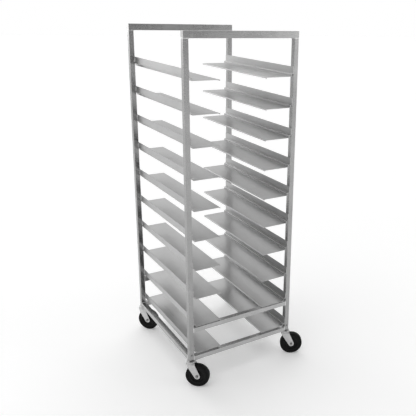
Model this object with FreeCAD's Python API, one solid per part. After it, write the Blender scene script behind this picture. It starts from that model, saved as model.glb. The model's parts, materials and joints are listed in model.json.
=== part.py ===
"""Welded aluminium sheet pan rack on four swivel stem casters, written as one STEP file per piece.

Millimetres. +X runs to the right along the loading face, +Y from that face to the back, +Z up. The
origin is on the floor, under the centre of the frame.
"""
import FreeCAD, Part
import math
import os

os.makedirs("parts", exist_ok=True)

# ---------------------------------------------------------------- driving dimensions, frame
frame_width = 603.0             # outside of the uprights, left to right
frame_depth = 690.0             # outside of the uprights, front to back
frame_height = 1624.0           # lower end of the uprights to the top of the top rails
tube = 25.4                     # outside of the square tube
tube_wall = 1.6
tube_corner = 1.2               # outside corner radius of the tube
least_inner_corner = 0.32       # a thick wall leaves the inside corners this radius
top_rail_height = 32.0          # the top rails are a taller tube than the uprights
end_cap_thickness = 2.0         # plates welded into the line of the top rails' ends

# ---------------------------------------------------------------- driving dimensions, slides
tier_count = 10
lowest_shelf = 40.5             # lower end of the uprights to the bottom tier's shelf
top_space = 211.9               # top tier's shelf to the top of the frame
slide_thickness = 2.0
slide_reach = 152.0             # upright's inner face to the shelf's free edge
slide_height = 46.0             # shelf to the top of the upstand
ledge_width = 13.0              # upright's inner face to the riser's inner face
ledge_height = 12.0             # shelf to the top of the ledge
lip_depth = 6.0                 # shelf to the foot of the turned-down free edge
bend_radius = 2.5               # at the middle of the sheet
rail_tier = 9                   # the upper cross rails carry this tier, counted from the top

# ---------------------------------------------------------------- driving dimensions, casters
wheel_radius = 62.0
wheel_width = 32.0
tread_radius = 45.5             # where the tyre meets the wheel's core
tyre_shoulder = 5.0             # radius of the tyre's shoulders
core_inset = 1.5                # core's rim inside the tyre's side face
rim_inner_radius = 37.0
web_half_width = 9.0
hub_radius = 15.0
hub_flare = 1.5                 # the hub widens by this much down to the web
rim_flare = 2.5                 # and the rim thickens by this much down to the web
hub_clearance = 0.3             # hub's end to the fork's leg
trail = 34.5                    # swivel axis to the axle
leg_gap = 1.5                   # tyre's side face to the fork's leg
leg_thickness = 2.5
leg_end_radius = 15.0           # rounded end of the leg, round the axle
crown_radius = 23.0
crown_thickness = 3.0
crown_corner = 6.0              # radius between the crown and a leg
ball_radius = 3.0
ball_count = 16
ball_circle = 17.5              # radius on which the balls run
cup_radius = 25.0
cup_thickness = 4.0
cup_skirt_depth = 9.0
cup_skirt_wall = 2.0
kingpin_radius = 6.0
kingpin_head_radius = 9.5
kingpin_head_thickness = 4.0
shank_length = 62.0             # square shank inside the upright
shank_chamfer = 3.0
stem_bolt_radius = 3.0
stem_bolt_height = 34.0         # lower end of the upright to the bolt
stem_bolt_head_radius = 5.5
stem_bolt_head_thickness = 3.0
stem_bolt_length = 18.0
axle_radius = 4.0
axle_head_flats = 13.0          # across the flats of the bolt's head and the nut
axle_head_thickness = 5.3
axle_nut_thickness = 6.5
axle_thread_past_nut = 2.0
sleeve_radius = 6.5

# ---------------------------------------------------------------- clearances
running_fit = 0.08              # radial, where one piece turns on another
slip_fit = 0.1                  # radial or each side, where a piece is pushed in and stays
ball_seat_gap = 0.05            # ball to the cup
ball_crown_gap = 0.35           # ball to the turning crown
kingpin_head_gap = 0.4          # crown to the king pin's head
wheel_top_gap = 1.7             # tyre's top to the king pin's head

edge_tolerance = 0.1            # how near an edge lies to the height at which it is looked for

# ---------------------------------------------------------------- derived heights and places
head_low = 2 * wheel_radius + wheel_top_gap
crown_low = head_low + kingpin_head_thickness + kingpin_head_gap
crown_high = crown_low + crown_thickness
ball_height = crown_high + ball_crown_gap + ball_radius
cup_low = ball_height + ball_radius + ball_seat_gap
frame_low = cup_low + cup_thickness
frame_high = frame_low + frame_height
tier_spacing = (frame_height - lowest_shelf - top_space) / (tier_count - 1)
upright_centre_x = frame_width / 2 - tube / 2
upright_centre_y = frame_depth / 2 - tube / 2
inner_face_x = frame_width / 2 - tube
inner_face_y = frame_depth / 2 - tube

# Corner name, side of the rack in X and Y, and the caster's direction of trail in degrees from +X.
corners = [
    ("front_left", -1, -1, -40.0),
    ("front_right", 1, -1, -28.0),
    ("rear_left", -1, 1, -50.0),
    ("rear_right", 1, 1, -35.0),
]


def vec(x, y, z):
    return FreeCAD.Vector(x, y, z)


def save(shape, node):
    """Writes one piece, after making sure that it is whole."""
    if not shape.isValid():
        raise ValueError(node + " is not a valid shape")
    shape.exportStep("parts/" + node + ".step")


def shelf_height(tier):
    """Top of a tier's shelf. Tier 1 is the highest."""
    return frame_low + lowest_shelf + (tier_count - tier) * tier_spacing


def rounded_rectangle(width, depth, radius):
    """Closed wire in XY, centred on the origin, with round corners."""
    x = width / 2
    y = depth / 2
    k = radius * (1 - math.sqrt(0.5))
    edges = []
    for sx, sy in ((1, 1), (-1, 1), (-1, -1), (1, -1)):
        on_side = vec(sx * x, sy * (y - radius), 0)
        on_end = vec(sx * (x - radius), sy * y, 0)
        middle = vec(sx * (x - k), sy * (y - k), 0)
        start, end = (on_side, on_end) if sx * sy > 0 else (on_end, on_side)
        edges.append((start, middle, end))
    wire = []
    for i, (start, middle, end) in enumerate(edges):
        wire.append(Part.Arc(start, middle, end).toShape())
        following = edges[(i + 1) % 4][0]
        wire.append(Part.LineSegment(end, following).toShape())
    return Part.Wire(wire)


def square_tube(width, depth, length, wall, corner):
    """Hollow rectangular tube standing on XY, centred on Z."""
    outer = Part.Face(rounded_rectangle(width, depth, corner))
    inner_corner = max(corner - wall, least_inner_corner)
    inner = Part.Face(rounded_rectangle(width - 2 * wall, depth - 2 * wall, inner_corner))
    return outer.cut(inner).extrude(vec(0, 0, length))


def tube_along_x(height, length, wall):
    """The frame's tube lying along X from the origin, on its lower face, centred in Y."""
    shape = square_tube(height, tube, length, wall, tube_corner)
    shape.rotate(vec(0, 0, 0), vec(0, 1, 0), 90)
    shape.translate(vec(0, 0, height / 2))
    return shape


def cylinder(radius, length, base, direction):
    return Part.makeCylinder(radius, length, base, direction)


# ---------------------------------------------------------------- uprights
# Square tubes that stand on the casters' cups and end under the top rails. Each front face is drilled
# for the bolt that holds the caster's shank.
upright_length = frame_height - top_rail_height
for name, side_x, side_y, angle in corners:
    upright = square_tube(tube, tube, upright_length, tube_wall, tube_corner)
    upright.translate(vec(side_x * upright_centre_x, side_y * upright_centre_y, frame_low))
    inside = side_y * (upright_centre_y + tube / 2 - tube_wall - slip_fit)
    drill = cylinder(
        stem_bolt_radius + slip_fit,
        tube_wall + 2 * slip_fit,
        vec(side_x * upright_centre_x, inside, frame_low + stem_bolt_height),
        vec(0, side_y, 0),
    )
    save(upright.cut(drill), "upright_" + name)

# ---------------------------------------------------------------- top rails
# Taller tubes across the front and the back, over the uprights' ends, closed by welded plates.
top_rail_length = frame_width - 2 * end_cap_thickness
caps = []
for end, side_y in (("front", -1), ("rear", 1)):
    rail = tube_along_x(top_rail_height, top_rail_length, tube_wall)
    rail.translate(vec(-top_rail_length / 2, side_y * upright_centre_y, frame_high - top_rail_height))
    save(rail, "top_rail_" + end)
    for start in (-frame_width / 2, frame_width / 2 - end_cap_thickness):
        cap = Part.Face(rounded_rectangle(top_rail_height, tube, tube_corner))
        cap = cap.extrude(vec(0, 0, end_cap_thickness))
        cap.rotate(vec(0, 0, 0), vec(0, 1, 0), 90)
        cap.translate(vec(start, side_y * upright_centre_y, frame_high - top_rail_height / 2))
        caps.append(cap)
save(Part.makeCompound(caps), "top_rail_end_caps")

# ---------------------------------------------------------------- lower rails
# Two cross rails at each end, butted between the uprights: one level with the uprights' lower ends and
# one that carries the ninth tier. A side rail joins the uprights' lower ends on each side.
cross_rail_length = frame_width - 2 * tube
cross_levels = {"lower": frame_low, "upper": shelf_height(rail_tier) - lip_depth - tube}
for end, side_y in (("front", -1), ("rear", 1)):
    for level, low in cross_levels.items():
        rail = tube_along_x(tube, cross_rail_length, tube_wall)
        rail.translate(vec(-cross_rail_length / 2, side_y * upright_centre_y, low))
        save(rail, "cross_rail_" + end + "_" + level)
side_rail_length = frame_depth - 2 * tube
for side, side_x in (("left", -1), ("right", 1)):
    rail = tube_along_x(tube, side_rail_length, tube_wall)
    rail.rotate(vec(0, 0, 0), vec(0, 0, 1), 90)
    rail.translate(vec(side_x * upright_centre_x, -side_rail_length / 2, frame_low))
    save(rail, "side_rail_" + side)


# ---------------------------------------------------------------- slides
def sheet_profile(path, thickness, radius):
    """Face of constant thickness along an open path in XZ, with every corner bent to the radius.

    At a corner both surfaces turn about the same centre, one inside the radius and one outside it.
    """
    points = [vec(x, 0, z) for x, z in path]
    runs = [(b - a).normalize() for a, b in zip(points, points[1:])]
    sides = {1: [], -1: []}
    for side, edges in sides.items():
        offset = side * thickness / 2
        normal = vec(-runs[0].z, 0, runs[0].x)
        here = points[0] + normal * offset
        for corner, run, following in zip(points[1:], runs, runs[1:]):
            turn = run.x * following.z - run.z * following.x
            toward = 1 if turn > 0 else -1
            half = run.getAngle(following) / 2
            back = radius * math.tan(half)
            normal = vec(-run.z, 0, run.x)
            next_normal = vec(-following.z, 0, following.x)
            centre = corner - run * back + normal * (toward * radius)
            size = radius - toward * offset
            start = centre - normal * (toward * size)
            end = centre - next_normal * (toward * size)
            middle = centre - (normal + next_normal).normalize() * (toward * size)
            edges.append(Part.LineSegment(here, start).toShape())
            edges.append(Part.Arc(start, middle, end).toShape())
            here = end
        normal = vec(-runs[-1].z, 0, runs[-1].x)
        edges.append(Part.LineSegment(here, points[-1] + normal * offset).toShape())
    first = [points[0] + vec(-runs[0].z, 0, runs[0].x) * (s * thickness / 2) for s in (1, -1)]
    last = [points[-1] + vec(-runs[-1].z, 0, runs[-1].x) * (s * thickness / 2) for s in (1, -1)]
    ends = [Part.LineSegment(*first).toShape(), Part.LineSegment(*last).toShape()]
    return Part.Face(Part.Wire(Part.__sortEdges__(sides[1] + sides[-1] + ends)))


# Each slide is one bent sheet, as long as the frame is deep: an upstand against the uprights' inner
# faces, a ledge, a riser down to the wide shelf, and a turned-down free edge.
half_sheet = slide_thickness / 2
slide_path = [
    (half_sheet, slide_height),
    (half_sheet, ledge_height - half_sheet),
    (ledge_width - half_sheet, ledge_height - half_sheet),
    (ledge_width - half_sheet, -half_sheet),
    (slide_reach - half_sheet, -half_sheet),
    (slide_reach - half_sheet, -lip_depth),
]
for side, side_x in (("left", -1), ("right", 1)):
    for tier in range(1, tier_count + 1):
        level = shelf_height(tier)
        path = [(side_x * (inner_face_x - x), level + z) for x, z in slide_path]
        slide = sheet_profile(path, slide_thickness, bend_radius).extrude(vec(0, frame_depth, 0))
        slide.translate(vec(0, -frame_depth / 2, 0))
        save(slide, "slide_{}_{:02d}".format(side, tier))


# ---------------------------------------------------------------- casters
# Each is made about its own swivel axis, trailing towards +X, and then turned and put under its upright.
def revolved(outline):
    """Solid of revolution about the Y axis through the origin, from (radius, y) points."""
    points = [vec(r, y, 0) for r, y in outline]
    wire = Part.makePolygon(points + [points[0]])
    return Part.Face(wire).revolve(vec(0, 0, 0), vec(0, 1, 0), 360)


def hexagon_prism(flats, thickness, hole):
    """Hexagon along Y from the origin, with a hole on its axis when hole is more than nought."""
    corner = flats / math.sqrt(3)
    points = [vec(corner * math.cos(math.radians(60 * i)), 0, corner * math.sin(math.radians(60 * i)))
              for i in range(6)]
    prism = Part.Face(Part.makePolygon(points + [points[0]])).extrude(vec(0, thickness, 0))
    if hole > 0:
        prism = prism.cut(cylinder(hole, 3 * thickness, vec(0, -thickness, 0), vec(0, 1, 0)))
    return prism


leg_inner = wheel_width / 2 + leg_gap
leg_outer = leg_inner + leg_thickness
hub_half_width = leg_inner - hub_clearance


def make_stem(side_y):
    """Square shank, bearing cup and king pin with its riveted head, as the one fixed piece."""
    width = tube - 2 * tube_wall - 2 * slip_fit
    shank = Part.makeBox(width, width, shank_length, vec(-width / 2, -width / 2, frame_low))
    shank_top = frame_low + shank_length
    top_edges = [e for e in shank.Edges if min(v.Z for v in e.Vertexes) > shank_top - edge_tolerance]
    upright_edges = [e for e in shank.Edges if abs(e.Vertexes[0].Z - e.Vertexes[1].Z) > edge_tolerance]
    shank = shank.makeChamfer(min(shank_chamfer, width / 4), top_edges + upright_edges)
    cup = cylinder(cup_radius, cup_skirt_depth, vec(0, 0, frame_low - cup_skirt_depth), vec(0, 0, 1))
    hollow_depth = cup_skirt_depth - cup_thickness
    hollow = cylinder(
        cup_radius - cup_skirt_wall, 2 * hollow_depth, vec(0, 0, cup_low - 2 * hollow_depth), vec(0, 0, 1)
    )
    pin = cylinder(kingpin_radius, frame_low - head_low, vec(0, 0, head_low), vec(0, 0, 1))
    head = cylinder(kingpin_head_radius, kingpin_head_thickness, vec(0, 0, head_low), vec(0, 0, 1))
    hole = cylinder(
        stem_bolt_radius + slip_fit,
        tube,
        vec(0, side_y * (tube / 2 - stem_bolt_length), frame_low + stem_bolt_height),
        vec(0, side_y, 0),
    )
    return shank.fuse([cup.cut(hollow), pin, head]).removeSplitter().cut(hole)


def make_stem_bolt(side_y):
    """Round-headed bolt through the upright's outer face into the shank."""
    face = side_y * tube / 2
    height = frame_low + stem_bolt_height
    body_length = stem_bolt_length - 2 * slip_fit
    body = cylinder(stem_bolt_radius, body_length, vec(0, face, height), vec(0, -side_y, 0))
    dome_radius = (stem_bolt_head_radius ** 2 + stem_bolt_head_thickness ** 2) / (2 * stem_bolt_head_thickness)
    centre = vec(0, face + side_y * (stem_bolt_head_thickness - dome_radius), height)
    dome = Part.makeSphere(dome_radius, centre)
    keep = cylinder(2 * dome_radius, dome_radius, vec(0, face, height), vec(0, side_y, 0))
    return body.fuse(dome.common(keep))


def make_balls():
    """Ring of separate balls between the cup and the crown."""
    balls = []
    for i in range(ball_count):
        turn = 2 * math.pi * i / ball_count
        centre = vec(ball_circle * math.cos(turn), ball_circle * math.sin(turn), ball_height)
        balls.append(Part.makeSphere(ball_radius, centre))
    return balls


def make_leg(side):
    """One leg of the fork: a plate that tapers from the crown to its rounded end at the axle."""
    top = crown_high - crown_corner
    half_top = crown_radius
    axle = vec(trail, 0, wheel_radius)
    tangents = []
    for edge in (-1, 1):
        shoulder = vec(edge * half_top, 0, top)
        reach = (shoulder - axle).Length
        bearing = math.atan2(shoulder.z - axle.z, shoulder.x - axle.x)
        swing = math.acos(leg_end_radius / reach)
        turn = bearing - edge * swing
        tangents.append(axle + vec(leg_end_radius * math.cos(turn), 0, leg_end_radius * math.sin(turn)))
    between = (tangents[0] + tangents[1]) * 0.5
    low = axle + (axle - between).normalize() * leg_end_radius
    edges = [
        Part.LineSegment(vec(-half_top, 0, crown_high), vec(-half_top, 0, top)).toShape(),
        Part.LineSegment(vec(-half_top, 0, top), tangents[0]).toShape(),
        Part.Arc(tangents[0], low, tangents[1]).toShape(),
        Part.LineSegment(tangents[1], vec(half_top, 0, top)).toShape(),
        Part.LineSegment(vec(half_top, 0, top), vec(half_top, 0, crown_high)).toShape(),
        Part.LineSegment(vec(half_top, 0, crown_high), vec(-half_top, 0, crown_high)).toShape(),
    ]
    plate = Part.Face(Part.Wire(edges)).extrude(vec(0, leg_thickness, 0))
    plate.translate(vec(0, leg_inner if side > 0 else -leg_outer, 0))
    hole_start = vec(trail, -2 * leg_outer, wheel_radius)
    hole = cylinder(axle_radius + slip_fit, 4 * leg_outer, hole_start, vec(0, 1, 0))
    return plate.cut(hole)


def make_fork():
    """Pressed steel fork: a flat crown with a round race, and a leg down each side of the wheel."""
    crown = cylinder(crown_radius, crown_thickness, vec(0, 0, crown_low), vec(0, 0, 1))
    bridge = Part.makeBox(
        2 * crown_radius, 2 * leg_outer, crown_thickness, vec(-crown_radius, -leg_outer, crown_low)
    )
    blank = Part.makeBox(2 * crown_radius, 2 * leg_outer, crown_high - crown_low + crown_corner,
                         vec(-crown_radius, -leg_outer, crown_low - crown_corner))
    long_edges = [e for e in blank.Edges
                  if e.BoundBox.XLength > crown_radius and e.BoundBox.ZMin > crown_high - edge_tolerance]
    rounded = blank.makeFillet(crown_corner, long_edges)
    legs = make_leg(1).fuse(make_leg(-1)).fuse(bridge)
    above = Part.makeBox(6 * crown_radius, 4 * leg_outer, 2 * crown_corner,
                         vec(-3 * crown_radius, -2 * leg_outer, crown_low - crown_corner))
    upper = legs.common(above).common(rounded)
    fork = legs.cut(above).fuse(upper).fuse(crown)
    pin_hole = cylinder(kingpin_radius + running_fit, 4 * crown_thickness,
                        vec(0, 0, crown_low - crown_thickness), vec(0, 0, 1))
    return fork.removeSplitter().cut(pin_hole)


def make_axle_set():
    """Hexagon-headed axle bolt and its nut, as two separate solids, head towards -Y."""
    past = axle_nut_thickness + axle_thread_past_nut
    shank = cylinder(axle_radius, 2 * leg_outer + past, vec(0, -leg_outer, 0), vec(0, 1, 0))
    head = hexagon_prism(axle_head_flats, axle_head_thickness, 0)
    head.translate(vec(0, -leg_outer - axle_head_thickness, 0))
    nut = hexagon_prism(axle_head_flats, axle_nut_thickness, axle_radius + slip_fit)
    nut.translate(vec(0, leg_outer, 0))
    return Part.makeCompound([shank.fuse(head), nut])


def make_sleeve():
    """Steel sleeve that the bolt clamps between the legs, and that the wheel turns on."""
    outer = cylinder(sleeve_radius, 2 * leg_inner, vec(0, -leg_inner, 0), vec(0, 1, 0))
    bore = cylinder(axle_radius + slip_fit, 4 * leg_inner, vec(0, -2 * leg_inner, 0), vec(0, 1, 0))
    return outer.cut(bore)


def make_core():
    """Moulded wheel core: a long hub, a recessed web and a rim for the tyre."""
    bore = sleeve_radius + running_fit
    rim = wheel_width / 2 - core_inset
    half = [
        (bore, hub_half_width),
        (hub_radius, hub_half_width),
        (hub_radius + hub_flare, web_half_width),
        (rim_inner_radius - rim_flare, web_half_width),
        (rim_inner_radius, rim),
        (tread_radius, rim),
    ]
    return revolved(half + [(r, -y) for r, y in reversed(half)])


def make_tyre():
    """Solid black tyre, with round shoulders, moulded on to the core's rim."""
    half = wheel_width / 2
    tyre = revolved([(tread_radius, half), (wheel_radius, half), (wheel_radius, -half), (tread_radius, -half)])
    shoulders = [
        e for e in tyre.Edges
        if abs(e.BoundBox.XMax - wheel_radius) < edge_tolerance and e.BoundBox.YLength < edge_tolerance
    ]
    return tyre.makeFillet(tyre_shoulder, shoulders)


def moved(shape, place):
    """A piece made about the swivel axis, put under its upright."""
    shape.translate(place)
    return shape


def trailed(shape, start, place, angle):
    """A swivelling piece moved out to its start along the trail, turned, and put under its upright."""
    shape.translate(start)
    shape.rotate(vec(0, 0, 0), vec(0, 0, 1), angle)
    return moved(shape, place)


stem_bolts = []
balls = []
at_swivel = vec(0, 0, 0)
at_axle = vec(trail, 0, wheel_radius)
for name, side_x, side_y, angle in corners:
    place = vec(side_x * upright_centre_x, side_y * upright_centre_y, 0)
    save(moved(make_stem(side_y), place), "caster_stem_" + name)
    stem_bolts.append(moved(make_stem_bolt(side_y), place))
    balls.extend(moved(ball, place) for ball in make_balls())
    save(trailed(make_fork(), at_swivel, place, angle), "caster_fork_" + name)
    save(trailed(make_axle_set(), at_axle, place, angle), "axle_bolt_and_nut_" + name)
    save(trailed(make_sleeve(), at_axle, place, angle), "axle_sleeve_" + name)
    save(trailed(make_core(), at_axle, place, angle), "wheel_core_" + name)
    save(trailed(make_tyre(), at_axle, place, angle), "tyre_" + name)
save(Part.makeCompound(stem_bolts), "stem_bolts")
save(Part.makeCompound(balls), "swivel_balls")
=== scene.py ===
"""Welded aluminium sheet pan rack on four swivel stem casters: finishes, weld beads and detailed casters
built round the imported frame. Metres, +Z up, origin on the floor under the middle of the frame."""

import json
import math

import bmesh
import bpy
import numpy as np
from mathutils import Matrix, Vector

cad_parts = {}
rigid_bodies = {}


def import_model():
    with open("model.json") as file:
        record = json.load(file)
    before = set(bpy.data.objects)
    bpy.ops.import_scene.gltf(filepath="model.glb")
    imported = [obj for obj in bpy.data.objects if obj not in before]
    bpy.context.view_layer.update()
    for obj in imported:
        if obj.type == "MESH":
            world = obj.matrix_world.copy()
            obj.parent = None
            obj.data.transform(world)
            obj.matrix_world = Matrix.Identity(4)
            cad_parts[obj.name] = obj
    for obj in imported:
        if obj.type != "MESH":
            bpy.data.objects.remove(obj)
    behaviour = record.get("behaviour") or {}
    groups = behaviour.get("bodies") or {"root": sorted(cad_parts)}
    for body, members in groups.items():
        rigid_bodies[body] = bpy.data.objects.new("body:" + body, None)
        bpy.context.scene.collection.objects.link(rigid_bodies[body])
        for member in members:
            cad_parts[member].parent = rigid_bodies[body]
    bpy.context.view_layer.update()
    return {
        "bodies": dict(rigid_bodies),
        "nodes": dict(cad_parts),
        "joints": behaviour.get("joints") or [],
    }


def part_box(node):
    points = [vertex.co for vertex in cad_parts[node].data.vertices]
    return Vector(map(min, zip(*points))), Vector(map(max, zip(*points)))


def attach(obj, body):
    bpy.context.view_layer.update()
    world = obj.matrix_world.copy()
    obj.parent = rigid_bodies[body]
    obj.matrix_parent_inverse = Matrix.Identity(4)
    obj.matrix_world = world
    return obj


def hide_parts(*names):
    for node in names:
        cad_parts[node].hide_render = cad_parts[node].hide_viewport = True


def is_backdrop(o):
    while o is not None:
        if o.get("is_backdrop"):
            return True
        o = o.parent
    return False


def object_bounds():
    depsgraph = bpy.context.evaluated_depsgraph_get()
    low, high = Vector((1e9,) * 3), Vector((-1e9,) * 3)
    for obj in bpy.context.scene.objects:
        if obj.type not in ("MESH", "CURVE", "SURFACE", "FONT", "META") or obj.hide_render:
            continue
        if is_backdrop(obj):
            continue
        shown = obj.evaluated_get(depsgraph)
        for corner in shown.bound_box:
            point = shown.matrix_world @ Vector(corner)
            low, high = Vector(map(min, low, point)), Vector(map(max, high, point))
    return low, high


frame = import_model()
mm = 0.001

# ---------------------------------------------------------------------------------------------------
# Camera. It stands in front of the rack and to its left, a little above the top rails, and looks down
# at the middle of the rack.
camera_place = (-1.377, -2.730, 1.884)
camera_heading = math.radians(-34.92)     # about +Z, from looking along +Y
camera_pitch = math.radians(17.63)        # below the horizon
camera_roll = math.radians(2.05)
camera = bpy.data.objects.new("camera", bpy.data.cameras.new("camera"))
camera.data.sensor_width = 36.0
camera.data.lens = 50.8
camera.data.shift_x = -0.20
camera.data.shift_y = -0.038
camera.matrix_world = (
    Matrix.Translation(camera_place)
    @ Matrix.Rotation(camera_heading, 4, "Z")
    @ Matrix.Rotation(math.radians(90) - camera_pitch, 4, "X")
    @ Matrix.Rotation(camera_roll, 4, "Z")
)
bpy.context.collection.objects.link(camera)
bpy.context.scene.camera = camera


# ---------------------------------------------------------------------------------------------------
# Studio. A pale floor, lit from within like a light table, under one very wide light overhead. Soft
# panels in the walls light one face of each tube more than the next, so that the metal shows its shape.
class Shade:
    """One socket of a node tree. Sums and products of shades and numbers add the Math nodes for them."""

    def __init__(self, tree, socket=None):
        self.tree = tree
        self.socket = socket

    def node(self, kind, settings=None, inputs=None, output=0):
        """Adds a node: its settings first, then numbers or links for its sockets."""
        made = self.tree.nodes.new("ShaderNode" + kind)
        for name, value in (settings or {}).items():
            setattr(made, name, value)
        for plug, value in (inputs or {}).items():
            if isinstance(value, Shade):
                self.tree.links.new(value.socket, made.inputs[plug])
            else:
                made.inputs[plug].default_value = value
        return Shade(self.tree, made.outputs[output])

    def math(self, operation, *values):
        """One Math node on numbers and shades."""
        return self.node("Math", {"operation": operation}, dict(enumerate(values)))

    def __add__(self, other):
        return self.math("ADD", self, other)

    def __sub__(self, other):
        return self.math("SUBTRACT", self, other)

    def __rsub__(self, other):
        return self.math("SUBTRACT", other, self)

    def __mul__(self, other):
        return self.math("MULTIPLY", self, other)

    __radd__ = __add__
    __rmul__ = __mul__

    def step(self, low, high):
        """Rises smoothly from 0 at low to 1 at high."""
        settings = {"interpolation_type": "SMOOTHSTEP"}
        return self.node("MapRange", settings, {0: self, 1: low, 2: high, 3: 0.0, 4: 1.0})

    def stretched(self, x, y, z):
        """A place with its axes scaled, so that a pattern on it is drawn out along the small ones."""
        return self.node("VectorMath", {"operation": "MULTIPLY"}, {0: self, 1: (x, y, z)})

    def noise(self, scale, detail, roughness=0.5):
        """Fractal noise over a place, between 0 and 1, with scale patches to a metre."""
        return self.node("TexNoise", None, {
            "Vector": self, "Scale": scale, "Detail": detail, "Roughness": roughness})

    def between(self, dark, light):
        """Colour from dark at 0 to light at 1. Both are greys."""
        greys = {6: (dark, dark, dark, 1.0), 7: (light, light, light, 1.0)}
        return self.node("Mix", {"data_type": "RGBA"}, {0: self, **greys}, 2)

    def bump(self, depth, strength=1.0):
        """Normal of a surface whose height is this shade times the depth."""
        return self.node("Bump", None, {"Height": self, "Distance": depth, "Strength": strength})


def new_finish(name, recipe):
    """Material with one Principled shader. The recipe turns object coordinates into its sockets' values."""
    material = bpy.data.materials.new(name)
    material.use_nodes = True
    tree = material.node_tree
    shader = tree.nodes["Principled BSDF"]
    place = Shade(tree).node("TexCoord", output="Object")
    for plug, value in recipe(place).items():
        if isinstance(value, Shade):
            tree.links.new(value.socket, shader.inputs[plug])
        else:
            shader.inputs[plug].default_value = value
    return material


def pale_floor(place):
    """Matt floor, slightly mottled, with a faint even glow of its own."""
    mottle = place.noise(0.8, 3.0)
    fine = place.noise(60.0, 2.0)
    return {
        "Base Color": (mottle * 0.7 + fine * 0.3).between(0.90, 0.94),
        "Roughness": 0.85,
        "Specular IOR Level": 0.2,
        "Emission Color": (1.0, 1.0, 1.0, 1.0),
        "Emission Strength": 0.22,
    }


floor_half = 30.0
floor_corners = [(-1, -1), (1, -1), (1, 1), (-1, 1)]
floor_mesh = bpy.data.meshes.new("floor")
floor_mesh.from_pydata([(x * floor_half, y * floor_half, 0) for x, y in floor_corners], [], [(0, 1, 2, 3)])
floor_mesh.materials.append(new_finish("pale_floor", pale_floor))
floor = bpy.data.objects.new("floor", floor_mesh)
bpy.context.collection.objects.link(floor)
floor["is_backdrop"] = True

world = bpy.data.worlds.new("studio")
bpy.context.scene.world = world
world.use_nodes = True
room = Shade(world.node_tree)
heading = room.node("TexCoord", output="Generated")


def panel(direction, edge, core):
    """Soft patch of light in the room's wall: full where the cosine to its direction passes the core."""
    direction = Vector(direction).normalized()
    facing = heading.node("VectorMath", {"operation": "DOT_PRODUCT"}, {0: heading, 1: direction}, 1)
    return facing.step(edge, core)


glow = 0.05
glow = glow + panel((-0.2, 0.97, 0.08), 0.935, 0.98) * 3.3       # far wall: the tubes' left faces
glow = glow + panel((0.78, -0.64, 0.1), 0.935, 0.985) * 3.6      # near right: the front faces
glow = glow + panel((0.45, 0.8, 0.35), 0.45, 1.0) * 0.8          # far and high: the shelves
glow = glow + panel((0, 0, 1), 0.6, 1.0) * 0.2                   # ceiling
seen = room.node("LightPath", output="Is Camera Ray")
backdrop = 1.0                                                   # what the camera sees of the room
glow = glow + seen * (backdrop - glow)
background = world.node_tree.nodes["Background"]
background.inputs["Color"].default_value = (1.0, 1.0, 1.0, 1.0)
world.node_tree.links.new(glow.socket, background.inputs["Strength"])
sky_light = bpy.data.lights.new("overhead", "SUN")
sky_light.energy = 1.75
sky_light.angle = math.radians(110)       # so wide that the shadows have no edge
overhead = bpy.data.objects.new("overhead", sky_light)
overhead.rotation_euler = Vector((0.35, -0.2, -1.0)).to_track_quat("-Z", "Y").to_euler()
bpy.context.collection.objects.link(overhead)
bpy.context.scene.view_settings.view_transform = "Standard"

# ---------------------------------------------------------------------------------------------------
# Tubes. Square extruded aluminium, left with its mill finish: faint lines drawn along each tube, cloudy
# patches from handling, and a slightly softer sheen where hands and cloths have been.
corners = [body[len("swivel_"):] for body in frame["bodies"] if body.startswith("swivel_")]
drawn_along = {"x": (0.008, 1, 1), "y": (1, 0.008, 1), "z": (1, 1, 0.008)}


def mill_finish(axis, dark, light, gloss):
    """Recipe for drawn aluminium with its grain along one axis. Its grey lies between dark and light and
    its roughness round the gloss; both follow the drawn lines and the cloudy patches."""
    x, y, z = drawn_along[axis]

    def recipe(place):
        grain = place.stretched(x, y, z)
        lines = grain.noise(620.0, 2.0, 0.6)
        hairs = grain.noise(2600.0, 1.0)
        cloud = place.noise(7.0, 3.0, 0.55)
        touch = place.noise(31.0, 3.0, 0.6).step(0.52, 0.7)
        tone = lines * 0.2 + cloud * 0.8
        return {
            "Base Color": tone.between(dark, light),
            "Metallic": 1.0,
            "Roughness": gloss + (lines - 0.5) * 0.16 + (cloud - 0.5) * 0.14 + touch * 0.07,
            "Normal": (lines * 0.6 + hairs * 0.4).bump(0.05 * mm, 0.5),
        }

    return recipe


def refinish(nodes, finish):
    """Gives CAD nodes a finish through their material slots."""
    for node in nodes:
        for slot in frame["nodes"][node].material_slots:
            slot.material = finish


# All four tube groups are the same aluminium. The uprights and top rails are painted darker and the cross and
# side rails lighter: painted shade and painted sheen for how light falls on each group.
refinish(["upright_" + corner for corner in corners],
         new_finish("aluminium_upright", mill_finish("z", 0.25, 0.46, 0.25)))
refinish(["top_rail_front", "top_rail_rear", "top_rail_end_caps"],
         new_finish("aluminium_top_rail", mill_finish("x", 0.27, 0.43, 0.27)))
cross_rails = [f"cross_rail_{end}_{level}" for end in ("front", "rear") for level in ("lower", "upper")]
refinish(cross_rails, new_finish("aluminium_cross_rail", mill_finish("x", 0.32, 0.56, 0.27)))
side_rails = ["side_rail_left", "side_rail_right"]
refinish(side_rails, new_finish("aluminium_side_rail", mill_finish("y", 0.32, 0.56, 0.27)))

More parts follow.
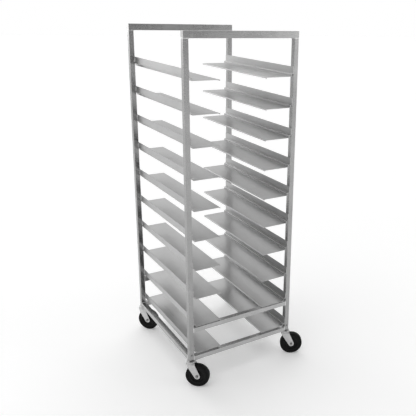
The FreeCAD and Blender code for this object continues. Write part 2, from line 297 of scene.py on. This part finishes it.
# ---------------------------------------------------------------------------------------------------
# Slides. Bent mill-finish sheet, each as long as the rack is deep. Pans dragged along the shelves have
# left fine bright scratches that run front to back.
def slide_sheet(place):
    """Rolled sheet with its grain front to back. The scratches are brighter and smoother than the rest."""
    grain = place.stretched(1, 0.006, 1)
    lines = grain.noise(480.0, 2.0, 0.6)
    scratches = place.stretched(1, 0.02, 1).noise(900.0, 1.0).step(0.66, 0.74)
    cloud = place.noise(5.0, 3.0, 0.5)
    touch = place.noise(24.0, 3.0, 0.6).step(0.5, 0.7)
    return {
        "Base Color": (lines * 0.25 + cloud * 0.55 + scratches * 0.2).between(0.38, 0.60),
        "Metallic": 1.0,
        "Roughness": 0.36 + (lines - 0.5) * 0.14 + (cloud - 0.5) * 0.06 + touch * 0.05 - scratches * 0.08,
        "Normal": (lines + scratches * 0.5).bump(0.05 * mm, 0.4),
    }


slides = sorted(node for node in frame["nodes"] if node.startswith("slide_"))
refinish(slides, new_finish("aluminium_slide", slide_sheet))


# ---------------------------------------------------------------------------------------------------
# Weld beads. Each tube and slide is welded where it meets the next: convex fillets in the inside
# corners and low seams where faces are level, laid down in overlapping ripples of filler metal.
def grid_faces(rows, columns, wrapped):
    """Quads of a grid of points that runs row by row. Wrapped, the last column joins the first."""
    row, column = np.meshgrid(np.arange(rows - 1), np.arange(columns - (not wrapped)), indexing="ij")
    beside = (column + 1) % columns
    corner, next_corner = row * columns + column, row * columns + beside
    return np.stack([corner, next_corner, next_corner + columns, corner + columns], -1).reshape(-1, 4)


def closed_shell(grid):
    """Shell from a grid of shape (rows, columns, 3) whose columns close on themselves. The first and the
    last row close it by shrinking to a point or a line."""
    rows, columns, _ = grid.shape
    return grid.reshape(-1, 3), grid_faces(rows, columns, True)


def add_piece(name, shells, body, finish, replaced=(), crisp=35.0):
    """One piece from closed shells. Points that meet are merged, faces are turned outwards and edges
    sharper than the crisp angle, in degrees, stay sharp."""
    starts = np.cumsum([0] + [len(points) for points, _ in shells])
    points = np.concatenate([points for points, _ in shells])
    faces = np.concatenate([faces + start for (_, faces), start in zip(shells, starts)])
    mesh = bpy.data.meshes.new(name)
    mesh.from_pydata(points, [], faces)
    work = bmesh.new()
    work.from_mesh(mesh)
    bmesh.ops.remove_doubles(work, verts=work.verts, dist=0.002 * mm)
    bmesh.ops.dissolve_degenerate(work, dist=0.001 * mm, edges=work.edges)
    bmesh.ops.recalc_face_normals(work, faces=work.faces)
    work.to_mesh(mesh)
    work.free()
    mesh.shade_smooth()
    mesh.set_sharp_from_angle(angle=math.radians(crisp))
    mesh.materials.append(finish)
    piece = bpy.data.objects.new(name, mesh)
    bpy.context.collection.objects.link(piece)
    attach(piece, body)
    if replaced:
        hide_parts(*replaced)


ripple_pitch = 2.4 * mm
fillet_leg = 3.6 * mm
seam_half_width = 2.4 * mm
seam_height = 0.45 * mm
rows_per_ripple = 5


def bead(start, end, leg, rise, turn):
    """Bead from start to end. Its section is the arc leg * cos + rise * sin over the turn, closed through
    the corner. Along the run the section swells in scallops one ripple apart, wanders a little and ends
    in round tips. Where it starts on the rack sets its phase, so no two beads look alike."""
    start, end, leg, rise = (np.array(v, float) for v in (start, end, leg, rise))
    length = np.linalg.norm(end - start)
    rows = int(length / ripple_pitch * rows_per_ripple) + 6
    along = np.linspace(0, 1, rows)[:, None, None]
    phase = float(np.abs(start).sum() * 997 % 1)
    scallop = np.abs(np.sin(math.pi * (along * length / ripple_pitch + phase)))
    wander = np.sin(along * length * 310 + phase * 20) * 0.06
    tip = np.sqrt(np.clip(1 - np.abs(2 * along - 1) ** 14, 0, 1))
    size = (0.88 + 0.14 * scallop + wander) * tip
    angle = np.linspace(0, turn, 7)[None, :, None]
    section = leg * np.cos(angle) + rise * np.sin(angle)
    section = np.concatenate([section, np.zeros((1, 1, 3))], axis=1)
    return closed_shell(start + (end - start) * along + section * size)


def fillet(start, end, leg, rise):
    """Bead in the inside corner of two faces that lead off along leg and rise."""
    return bead(start, end, np.array(leg) * fillet_leg, np.array(rise) * fillet_leg, math.pi / 2)


def seam(start, end, sideways, outwards):
    """Low bead over the joint of two level faces."""
    return bead(start, end, np.array(sideways) * seam_half_width, np.array(outwards) * seam_height, math.pi)


def weld_metal(place):
    """Bright filler metal, frosted by cooling and greyed by soot in places."""
    soot = place.noise(120.0, 3.0, 0.6)
    frost = place.noise(900.0, 2.0)
    return {
        "Base Color": (soot * 0.7 + frost * 0.3).between(0.42, 0.86),
        "Metallic": 1.0,
        "Roughness": 0.30 + soot * 0.22,
        "Normal": frost.bump(0.05 * mm, 0.5),
    }


weld = new_finish("weld_metal", weld_metal)
top_beads = []
cross_beads = []
side_beads = []
for corner in corners:
    low, high = (np.array(v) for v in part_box("upright_" + corner))
    sx, sy = np.sign(low[0] + high[0]), np.sign(low[1] + high[1])
    inner_x, outer_x = sorted((low[0], high[0]), key=abs)
    inner_y, outer_y = sorted((low[1], high[1]), key=abs)
    top, foot = high[2], low[2]
    top_beads.append(fillet((inner_x, inner_y, top), (inner_x, outer_y, top), (-sx, 0, 0), (0, 0, -1)))
    top_beads.append(seam((outer_x, inner_y, top), (outer_x, outer_y, top), (0, 0, 1), (sx, 0, 0)))
    for y, facing in ((inner_y, -sy), (outer_y, sy)):
        top_beads.append(seam((inner_x, y, top), (outer_x, y, top), (0, 0, 1), (0, facing, 0)))
    end = corner.split("_")[0]
    for level in ("lower", "upper"):
        rail_low, rail_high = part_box(f"cross_rail_{end}_{level}")
        cross_beads.append(fillet(
            (inner_x, inner_y, rail_high[2]), (inner_x, outer_y, rail_high[2]), (-sx, 0, 0), (0, 0, 1)))
        if level == "upper":
            cross_beads.append(fillet(
                (inner_x, inner_y, rail_low[2]), (inner_x, outer_y, rail_low[2]), (-sx, 0, 0), (0, 0, -1)))
        for y, facing in ((inner_y, -sy), (outer_y, sy)):
            cross_beads.append(seam(
                (inner_x, y, rail_low[2]), (inner_x, y, rail_high[2]), (1, 0, 0), (0, facing, 0)))
    side_low, side_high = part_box("side_rail_" + corner.split("_")[1])
    side_beads.append(fillet(
        (inner_x, inner_y, side_high[2]), (outer_x, inner_y, side_high[2]), (0, -sy, 0), (0, 0, 1)))
    for x, facing in ((inner_x, -sx), (outer_x, sx)):
        side_beads.append(seam(
            (x, inner_y, side_low[2]), (x, inner_y, side_high[2]), (0, 1, 0), (facing, 0, 0)))
add_piece("weld_beads_top_rails", top_beads, "frame", weld)
add_piece("weld_beads_cross_rails", cross_beads, "frame", weld)
add_piece("weld_beads_side_rails", side_beads, "frame", weld)

bead_below_upstand = 2.5 * mm           # the bead stops short of the upstand's top edge
bead_above_lip = 23.0 * mm              # and starts this far above the slide's lowest edge
for side in ("left", "right"):
    beads = []
    for node in slides:
        if side not in node:
            continue
        slide_low, slide_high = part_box(node)
        for end in ("front", "rear"):
            low, high = (np.array(v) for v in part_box(f"upright_{end}_{side}"))
            inner_x = min(low[0], high[0], key=abs)
            inner_y = min(low[1], high[1], key=abs)
            start = slide_low[2] + bead_above_lip
            stop = slide_high[2] - bead_below_upstand
            beads.append(fillet((inner_x, inner_y, start), (inner_x, inner_y, stop),
                                (np.sign(inner_x), 0, 0), (0, -np.sign(inner_y), 0)))
    add_piece("weld_beads_slides_" + side, beads, "frame", weld)

# ---------------------------------------------------------------------------------------------------
# Caster stems. A pressed, zinc-plated cup that holds the balls under each upright, on a square shank
# that fills the upright's end, with the king pin riveted below it.
joints = {joint["name"]: joint for joint in frame["joints"]}


def caster_frame(corner):
    """Point under the swivel axis on the floor and the caster's own axes: trail, across and up."""
    swivel = np.array(joints["swivel_" + corner]["pos_m"])
    wheel = np.array(joints["roll_" + corner]["pos_m"])
    across = np.array(joints["roll_" + corner]["axis"])
    trail = (wheel - swivel) * (1, 1, 0)
    origin = swivel * (1, 1, 0)
    return origin, np.stack([trail / np.linalg.norm(trail), across, (0, 0, 1)])


def placed(shell, origin, axes):
    """A shell moved from its own axes to a place on the rack."""
    points, faces = shell
    return origin + points @ axes, faces


def rounded(outline, steps=5):
    """Outline of (radius, height, corner radius) with an arc at each corner that has a radius. The arc
    touches both sides at the corner radius over the tangent of half the corner's angle."""
    points = []
    for i, (r, h, bend) in enumerate(outline):
        here = np.array((r, h))
        if bend == 0:
            points.append(here)
            continue
        before = np.array(outline[i - 1][:2]) - here
        after = np.array(outline[(i + 1) % len(outline)][:2]) - here
        before, after = before / np.linalg.norm(before), after / np.linalg.norm(after)
        half = math.acos(float(np.clip(before @ after, -1, 1))) / 2
        middle = here + (before + after) / np.linalg.norm(before + after) * bend / math.sin(half)
        first, last = here + before * bend / math.tan(half), here + after * bend / math.tan(half)
        begin = math.atan2(*(first - middle)[::-1])
        sweep = (math.atan2(*(last - middle)[::-1]) - begin + math.pi) % (2 * math.pi) - math.pi
        for angle in begin + np.linspace(0, 1, steps) * sweep:
            points.append(middle + bend * np.array((math.cos(angle), math.sin(angle))))
    return np.array(points)


def turned(profile, count):
    """Solid of revolution about Z from (radius, height) points: each point goes round at its radius."""
    angle = np.arange(count) / count * 2 * math.pi
    radius, height = profile[:, :1], profile[:, 1:]
    return np.stack([radius * np.cos(angle), radius * np.sin(angle), height + 0 * angle], -1)


def ring_shell(profile, count):
    """Shell turned from a closed profile that doesn't reach the axis."""
    return closed_shell(turned(np.concatenate([profile, profile[:1]]), count))


def solid_shell(profile, count):
    """Shell turned from a profile that starts and ends on the axis."""
    return closed_shell(turned(profile, count))


def bright_zinc(place):
    """Bright zinc plate with a soft bloom and a few dull scuffs."""
    bloom = place.noise(45.0, 3.0, 0.6)
    speck = place.noise(600.0, 2.0)
    scuff = place.noise(160.0, 4.0, 0.7).step(0.56, 0.68)
    return {
        "Base Color": (bloom * 0.5 + speck * 0.2 - scuff * 0.2 + 0.25).between(0.38, 0.68),
        "Metallic": 1.0,
        "Roughness": 0.24 + bloom * 0.10 + scuff * 0.10,
        "Normal": speck.bump(0.02 * mm, 0.4),
    }


zinc = new_finish("bright_zinc", bright_zinc)
cup_radius = 25.0 * mm
cup_depth = 9.0 * mm
cup_plate = 4.0 * mm
skirt_radius = 23.0 * mm
step_width = 1.6 * mm                     # the cup's rim steps in by this much
step_from, step_to = 5.2 * mm, 4.2 * mm   # between these depths below its top
pin_radius = 6.0 * mm
head_radius = 9.5 * mm                    # of the king pin's riveted head
head_thickness = 4.0 * mm
shank_half = 10.9 * mm
shank_length = 62.0 * mm
shank_chamfer = 3.0 * mm
flat_share = 0.75                         # of each side of the shank, between its bevelled corners
shank_section = [(1, flat_share), (flat_share, 1), (-flat_share, 1), (-1, flat_share),
                 (-1, -flat_share), (-flat_share, -1), (flat_share, -1), (1, -flat_share)]
for corner in corners:
    origin, axes = caster_frame(corner)
    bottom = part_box("caster_stem_" + corner)[0][2]
    cup_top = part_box("upright_" + corner)[0][2]
    plate_low = cup_top - cup_plate
    cup = rounded([
        (0, bottom, 0),
        (head_radius - 2 * mm, bottom, 0),
        (head_radius, bottom + 1.4 * mm, 1.2 * mm),
        (head_radius, bottom + head_thickness, 0.5 * mm),
        (pin_radius, bottom + head_thickness, 0.3 * mm),
        (pin_radius, plate_low, 0.3 * mm),
        (skirt_radius, plate_low, 1.5 * mm),
        (skirt_radius, cup_top - cup_depth, 0.6 * mm),
        (cup_radius, cup_top - cup_depth, 0.8 * mm),
        (cup_radius, cup_top - step_from, 1.5 * mm),
        (cup_radius - step_width, cup_top - step_to, 1.2 * mm),
        (cup_radius - step_width, cup_top, 1.2 * mm),
        (0, cup_top, 0),
    ])
    level = np.array([0, 0, shank_length - shank_chamfer, shank_length, shank_length]) + cup_top
    width = np.array([0, shank_half, shank_half, shank_half - shank_chamfer, 0])[:, None]
    side_x, side_y = np.array(shank_section).T
    shank = np.stack([width * side_x, width * side_y, level[:, None] + 0 * side_x], -1)
    stem = [placed(solid_shell(cup, 72), origin, axes), placed(closed_shell(shank), origin, np.eye(3))]
    add_piece("stem_" + corner, stem, "frame", zinc, ["caster_stem_" + corner])


# ---------------------------------------------------------------------------------------------------
# Stem bolts. A round-headed bolt with a hexagon socket goes through each upright's outer face into the
# shank. They are zinc-plated steel, driven home with a key.
def hexagon_reach(angle, flats):
    """Distance from the middle of a hexagon to its side at an angle, from its width across the flats."""
    return flats / 2 / np.cos((angle + math.pi / 6) % (math.pi / 3) - math.pi / 6)


def fastener_zinc(place):
    """Dark grey zinc plate in uneven blotches, with fine turning marks."""
    blotches = place.noise(260.0, 3.0, 0.6)
    turning = place.noise(1500.0, 1.0)
    return {
        "Base Color": (blotches * 0.8 + turning * 0.2).between(0.14, 0.40),
        "Metallic": 1.0,
        "Roughness": 0.26 + blotches * 0.22,
        "Normal": turning.bump(0.03 * mm, 0.4),
    }


plated_steel = new_finish("fastener_zinc", fastener_zinc)
bolt_head_radius = 5.5 * mm
bolt_head_height = 3.0 * mm
bolt_radius = 3.0 * mm
bolt_length = 17.8 * mm
socket_flats = 4.0 * mm
socket_depth = 1.8 * mm
socket_angle = np.arange(48) / 48 * 2 * math.pi
socket_reach = hexagon_reach(socket_angle, socket_flats)
dome_radius = (bolt_head_radius ** 2 + bolt_head_height ** 2) / (2 * bolt_head_height)
crown_reach = np.linspace(socket_flats * 0.6, bolt_head_radius, 9)
crown_height = np.sqrt(dome_radius ** 2 - crown_reach ** 2) - dome_radius + bolt_head_height
round_rows = [(reach + 0 * socket_angle, height) for reach, height in zip(crown_reach, crown_height)]
floor_of_socket = crown_height[0] - socket_depth
rows = [(0 * socket_angle, floor_of_socket), (socket_reach, floor_of_socket), (socket_reach, crown_height[0])]
rows += round_rows
rows += [(radius + 0 * socket_angle, height)
         for radius, height in ((bolt_radius, 0.0), (bolt_radius, -bolt_length), (0.0, -bolt_length))]
button_head = closed_shell(np.stack(
    [np.stack([reach * np.cos(socket_angle), reach * np.sin(socket_angle), height + 0 * reach], -1)
     for reach, height in rows]))
stem_bolts = []
bolts_low, bolts_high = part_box("stem_bolts")
bolt_level = (bolts_low[2] + bolts_high[2]) / 2
for corner in corners:
    low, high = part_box("upright_" + corner)
    face = max(low[1], high[1], key=abs)
    outwards = math.copysign(1, face)
    seat = np.array(((low[0] + high[0]) / 2, face, bolt_level))
    axes = np.array([(1, 0, 0), (0, 0, -outwards), (0, outwards, 0)])
    stem_bolts.append(placed(button_head, seat, axes))
add_piece("stem_bolts_detailed", stem_bolts, "frame", plated_steel, ["stem_bolts"])

# ---------------------------------------------------------------------------------------------------
# Swivel balls and axle sleeves. Hardened balls run between cup and crown; a plain steel sleeve between
# the fork's legs is what each wheel turns on. Both are right as they are and take a finish only.
def ground_steel(place):
    """Ground and polished steel under a thin, uneven film of grease."""
    haze = place.noise(400.0, 2.0)
    return {
        "Base Color": haze.between(0.42, 0.62),
        "Metallic": 1.0,
        "Roughness": 0.10 + haze * 0.12,
    }


polished = new_finish("ground_steel", ground_steel)
refinish(["swivel_balls"] + ["axle_sleeve_" + corner for corner in corners], polished)

# ---------------------------------------------------------------------------------------------------
# Forks. Each is pressed from one zinc-plated steel sheet: a flat crown, a leg down each side of the
# wheel with a crease along its middle, and a leading edge turned in over the tyre to stiffen it.
def smooth(value, low, high):
    """Rises smoothly from 0 at low to 1 at high."""
    t = np.clip((value - low) / (high - low), 0, 1)
    return t * t * (3 - 2 * t)


crown_half = 23.0 * mm
race_thickness = 3.0 * mm
pin_hole = 6.1 * mm
bend = 6.0 * mm                           # outer radius between the crown and a leg
sheet = 2.3 * mm
leg_face = 20.0 * mm                      # middle of the wheel to a leg's outer face
foot_radius = 15.0 * mm
edge_roll = 0.8 * mm                      # how far the trailing edge is rolled in
facet_depth = 1.2 * mm                    # how far the leading edge slopes in beside the tyre
hood_depth = 9.0 * mm                     # and how much further past the tyre, where there is room
crease_height = 2.4 * mm
groove_depth = 0.7 * mm                   # of the fine line pressed in beside the crease
# Each relief rises between two distances from the axle, and the crease also between two below the crown.
facet_end, facet_full = 13 * mm, 20 * mm
roll_end, roll_full = 14 * mm, 20 * mm
crease_end, crease_full = 14 * mm, 30 * mm
hood_end, hood_full = 63 * mm, 96 * mm
crease_top, crease_blend = 2 * mm, 18 * mm
# Places across a leg, from -1 at the leading edge to 1 at the trailing edge.
facet_start, groove_place, groove_width, roll_start = -0.1, -0.07, 0.07, 0.78


def leg_edge(edge, shoulder, axle, down, foot):
    """One edge of a leg: straight from the crown's corner to where it touches the foot's circle, and then
    round the circle to the point that is farthest from the crown."""
    top = np.array((edge * crown_half, shoulder))
    away = top - axle
    touch_turn = math.atan2(away[1], away[0]) - edge * math.acos(foot_radius / np.hypot(*away))
    far_turn = math.atan2(axle[1] - shoulder, axle[0])
    spread = (touch_turn - far_turn + math.pi) % (2 * math.pi) - math.pi
    turn = far_turn + spread * (1 - foot)
    tangent = axle + foot_radius * np.array((math.cos(touch_turn), math.sin(touch_turn)))
    straight = top + (tangent - top) * down[:, None]
    return np.concatenate([straight, axle + foot_radius * np.stack([np.cos(turn), np.sin(turn)], -1)])


def fork_side(crown_top, axle):
    """Outer and inner surface of one half of the fork, from the crown's middle to the leg's round foot.

    Rows run along the crown, round the bend, down the leg and round the foot. Columns run across, from the
    leading to the trailing edge. The relief goes along the sheet's own normal: ahead of the crease the leg
    slopes in to the leading edge, and the outer face rises to the crease from both edges.
    """
    across = np.linspace(-1, 1, 41)
    flat = np.linspace(0, 1, 5)
    curl = np.linspace(0, 1, 8)[1:]
    down = np.linspace(0, 1, 22)[1:]
    foot = np.linspace(0, 1, 10)[1:]
    swept = np.concatenate([0 * flat, curl, 0 * down + 1, 0 * foot + 1]) * math.pi / 2
    shoulder = crown_top - bend
    crown_rows = len(flat) + len(curl)
    leading, trailing = (
        np.concatenate([np.tile((edge * crown_half, shoulder), (crown_rows, 1)),
                        leg_edge(edge, shoulder, axle, down, foot)])[:, None]
        for edge in (-1, 1))
    share = (across[None, :, None] + 1) / 2
    x, z = np.moveaxis(leading * (1 - share) + trailing * share, -1, 0)
    z = z + bend * np.cos(swept)[:, None]
    out = np.concatenate([flat * (leg_face - bend), leg_face - bend + bend * np.sin(swept[len(flat):])])
    middle = np.stack([x, out[:, None] + 0 * x, z], -1)
    normal = np.stack([0 * swept, np.sin(swept), np.cos(swept)], -1)[:, None]

    reach = np.hypot(x - axle[0], z - axle[1])
    lead = np.clip((facet_start - across) / (1 + facet_start), 0, 1)
    depth = facet_depth * lead * smooth(reach, facet_end, facet_full)
    depth = depth + hood_depth * lead ** 2 * smooth(reach, hood_end, hood_full)
    depth = depth + edge_roll * smooth(across, roll_start, 1) * smooth(reach, roll_end, roll_full)
    depth = (depth * smooth(swept, 0.2, 1.4)[:, None])[..., None]
    crease = crease_height * (1 - abs(across))
    crease = crease - groove_depth * np.exp(-((across - groove_place) / groove_width) ** 2)
    crease = crease * smooth(reach, crease_end, crease_full) * smooth(crown_top - z, crease_top, crease_blend)
    return middle + normal * (crease[..., None] - depth), middle - normal * (sheet + depth)


def fork_shells(crown_top, axle):
    """The pressed sheet as one closed shell that runs from foot to foot, and the crown's round race."""
    outer, inner = fork_side(crown_top, axle)
    mirrored = (1, -1, 1)
    outer = np.concatenate([(outer * mirrored)[:0:-1], outer])
    inner = np.concatenate([(inner * mirrored)[:0:-1], inner])
    sheet_grid = np.concatenate([outer, inner[:, ::-1]], axis=1)
    race = rounded([
        (pin_hole, crown_top - race_thickness, 0.3 * mm),
        (crown_half, crown_top - race_thickness, 0.8 * mm),
        (crown_half, crown_top, 1.0 * mm),
        (pin_hole, crown_top, 0.4 * mm),
    ])
    return [closed_shell(sheet_grid), ring_shell(race, 72)]


for corner in corners:
    origin, axes = caster_frame(corner)
    wheel = np.array(joints["roll_" + corner]["pos_m"])
    trail_length = np.linalg.norm((wheel - origin)[:2])
    crown_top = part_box("caster_fork_" + corner)[1][2]
    shells = fork_shells(crown_top, np.array((trail_length, wheel[2])))
    add_piece("fork_" + corner, [placed(shell, origin, axes) for shell in shells],
              "swivel_" + corner, zinc, ["caster_fork_" + corner], crisp=50.0)

# ---------------------------------------------------------------------------------------------------
# Axle bolts and nuts. A chamfered hexagon bolt clamps the legs on the sleeve; its thread ends a little
# past a lock nut with a round collar. Zinc-plated steel, a darker grey than the forks.
axle_flats = 13.0 * mm
axle_radius = 4.0 * mm
head_height = 5.3 * mm
head_washer = 0.4 * mm                    # raised face under the bolt's head
head_dish = 0.3 * mm                      # hollow in the head's end
nut_height = 6.5 * mm
nut_bore = 4.05 * mm
nut_collar = 1.1 * mm
thread_past_nut = 2.0 * mm
thread_pitch = 1.25 * mm
thread_depth = 0.55 * mm
thread_length = 12.0 * mm
hex_angle = np.arange(72) / 72 * 2 * math.pi
chamfer_slope = 1.73                      # a 30 degree chamfer, in radius for each unit of height


def hexagon_rows(height_from, height_to, both_ends):
    """Rows of a hexagon's side, cut back by a cone at the far end and, for a nut, at the near end."""
    levels = np.concatenate([np.linspace(0, 0.3, 6), np.linspace(0.7, 1.0, 6)])
    face_radius = axle_flats / 2 * 0.95
    rows = []
    for level in levels:
        height = height_from + (height_to - height_from) * level
        far = face_radius + chamfer_slope * abs(height_to - height)
        near = face_radius + chamfer_slope * abs(height - height_from) if both_ends else far
        rows.append((np.minimum(hexagon_reach(hex_angle, axle_flats), min(far, near)), height))
    return rows


def rows_shell(rows):
    """Shell from rows of (radius at each angle, height) round Z."""
    level = 0 * hex_angle
    return closed_shell(np.stack([
        np.stack([r * np.cos(hex_angle), r * np.sin(hex_angle), h + level], -1) for r, h in rows]))


def axle_shells():
    """Bolt and nut along Z: the head outside the leg on the -Z side, the nut outside the other one, and a
    thread whose depth is a triangle wave of the height less the turn, so that it winds round the bolt."""
    head_end = -leg_face - head_height
    head_seat = -leg_face - head_washer
    dish = head_end + head_dish
    bolt = [(0.0, dish), (axle_flats * 0.3, dish), (axle_flats * 0.34, head_end)]
    bolt += hexagon_rows(head_seat, head_end, False)[::-1]
    bolt += [(axle_flats * 0.47, head_seat), (axle_flats * 0.47, -leg_face), (axle_radius, -leg_face)]
    end = leg_face + nut_height + thread_past_nut
    start = end - thread_length
    bolt.append((axle_radius, start))
    for height in np.arange(start, end - 0.6 * mm, thread_pitch / 7):
        groove = np.abs((height / thread_pitch - hex_angle / (2 * math.pi)) % 1 - 0.5) * 2
        bolt.append((axle_radius - thread_depth * (1 - groove), height))
    bolt += [(axle_radius - thread_depth, end), (0.0, end)]
    hexagon_end = leg_face + nut_height * 0.7
    nut = [(nut_bore, leg_face)] + hexagon_rows(leg_face, hexagon_end, True)
    nut += [(axle_flats * 0.43, hexagon_end), (axle_flats * 0.43, hexagon_end + nut_collar),
            (axle_flats * 0.40, hexagon_end + nut_collar + 0.6 * mm), (nut_bore, leg_face + nut_height),
            (nut_bore, leg_face)]
    return [rows_shell(bolt), rows_shell(nut)]


for corner in corners:
    wheel = np.array(joints["roll_" + corner]["pos_m"])
    trail, across, up = caster_frame(corner)[1]
    axle_axes = np.stack([trail, -up, across])
    add_piece("axle_bolt_" + corner, [placed(shell, wheel, axle_axes) for shell in axle_shells()],
              "swivel_" + corner, plated_steel, ["axle_bolt_and_nut_" + corner])

# ---------------------------------------------------------------------------------------------------
# Wheels. A moulded black polyolefin core, with a long hub and a recessed web, carries a solid black
# rubber tyre with round shoulders, a ring groove in each side and a mould line round the tread.
def moulded_core(place):
    """Black plastic with a fine orange-peel skin, scuffed grey here and there."""
    orange_peel = place.noise(700.0, 2.0)
    scuff = place.noise(90.0, 4.0, 0.7).step(0.55, 0.7)
    return {
        "Base Color": (orange_peel * 0.3 + scuff * 0.7).between(0.003, 0.014),
        "Roughness": 0.48 + scuff * 0.2,
        "Specular IOR Level": 0.18,
        "Normal": orange_peel.bump(0.08 * mm, 0.5),
    }


def black_rubber(place):
    """Black rubber with a fine grain and a trace of dust."""
    dust = place.noise(70.0, 4.0, 0.65)
    grain = place.noise(1300.0, 2.0)
    return {
        "Base Color": (dust.step(0.45, 0.75) * 0.8 + grain * 0.2).between(0.002, 0.012),
        "Roughness": 0.52 + dust * 0.2,
        "Specular IOR Level": 0.18,
        "Normal": grain.bump(0.06 * mm, 0.5),
    }


core_finish = new_finish("moulded_core", moulded_core)
rubber = new_finish("black_rubber", black_rubber)
# Outlines of half a core and half a tyre, as (radius, half width, corner radius) in millimetres.
wheel_radius, half_width, tread_joint = 62.0, 16.0, 45.5
bore, hub_radius, hub_half = 6.6, 15.0, 17.2
web_half, web_ring, ring_rise = 9.0, 25.0, 0.6
rim_inner, rim_half = 37.0, 14.5
groove_radius, groove_sunk = 50.0, 0.7
half_core = [
    (bore, hub_half, 0.6),
    (hub_radius - 2.0, hub_half, 0.8),
    (hub_radius, hub_half - 2.4, 1.5),
    (hub_radius + 1.5, web_half, 3.0),
    (web_ring - 1.0, web_half, 0.0),
    (web_ring - 0.5, web_half + ring_rise, 0.0),
    (web_ring + 0.5, web_half + ring_rise, 0.0),
    (web_ring + 1.0, web_half, 0.0),
    (rim_inner - 2.5, web_half, 3.0),
    (rim_inner, rim_half, 0.8),
    (tread_joint, rim_half, 0.3),
]
half_tyre = [
    (tread_joint, rim_half, 0.2),
    (tread_joint + 0.6, half_width - 0.2, 0.6),
    (groove_radius - 1.0, half_width, 0.0),
    (groove_radius - 0.6, half_width - groove_sunk, 0.2),
    (groove_radius + 0.6, half_width - groove_sunk, 0.2),
    (groove_radius + 1.0, half_width, 0.0),
    (wheel_radius - 0.5, half_width - 0.3, 4.5),
    (wheel_radius - 0.12, 1.0, 0.0),
    (wheel_radius, 0.5, 0.0),
]


def both_sides(half):
    """Closed outline from its upper half and the same mirrored, with its corners rounded, in metres."""
    upper = [(r * mm, h * mm, b * mm) for r, h, b in half]
    lower = [(r, -h, b) for r, h, b in reversed(upper)]
    return rounded(upper + lower)


for corner in corners:
    wheel = np.array(joints["roll_" + corner]["pos_m"])
    trail, across, up = caster_frame(corner)[1]
    axle_axes = np.stack([trail, -up, across])
    core = placed(ring_shell(both_sides(half_core), 96), wheel, axle_axes)
    tyre = placed(ring_shell(both_sides(half_tyre), 128), wheel, axle_axes)
    body = "wheel_" + corner
    add_piece("core_" + corner, [core], body, core_finish, ["wheel_core_" + corner])
    add_piece("tread_" + corner, [tyre], body, rubber, ["tyre_" + corner])

# ---------------------------------------------------------------------------------------------------
# Size of the finished rack: the box round every shown piece but the floor.
low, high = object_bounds()
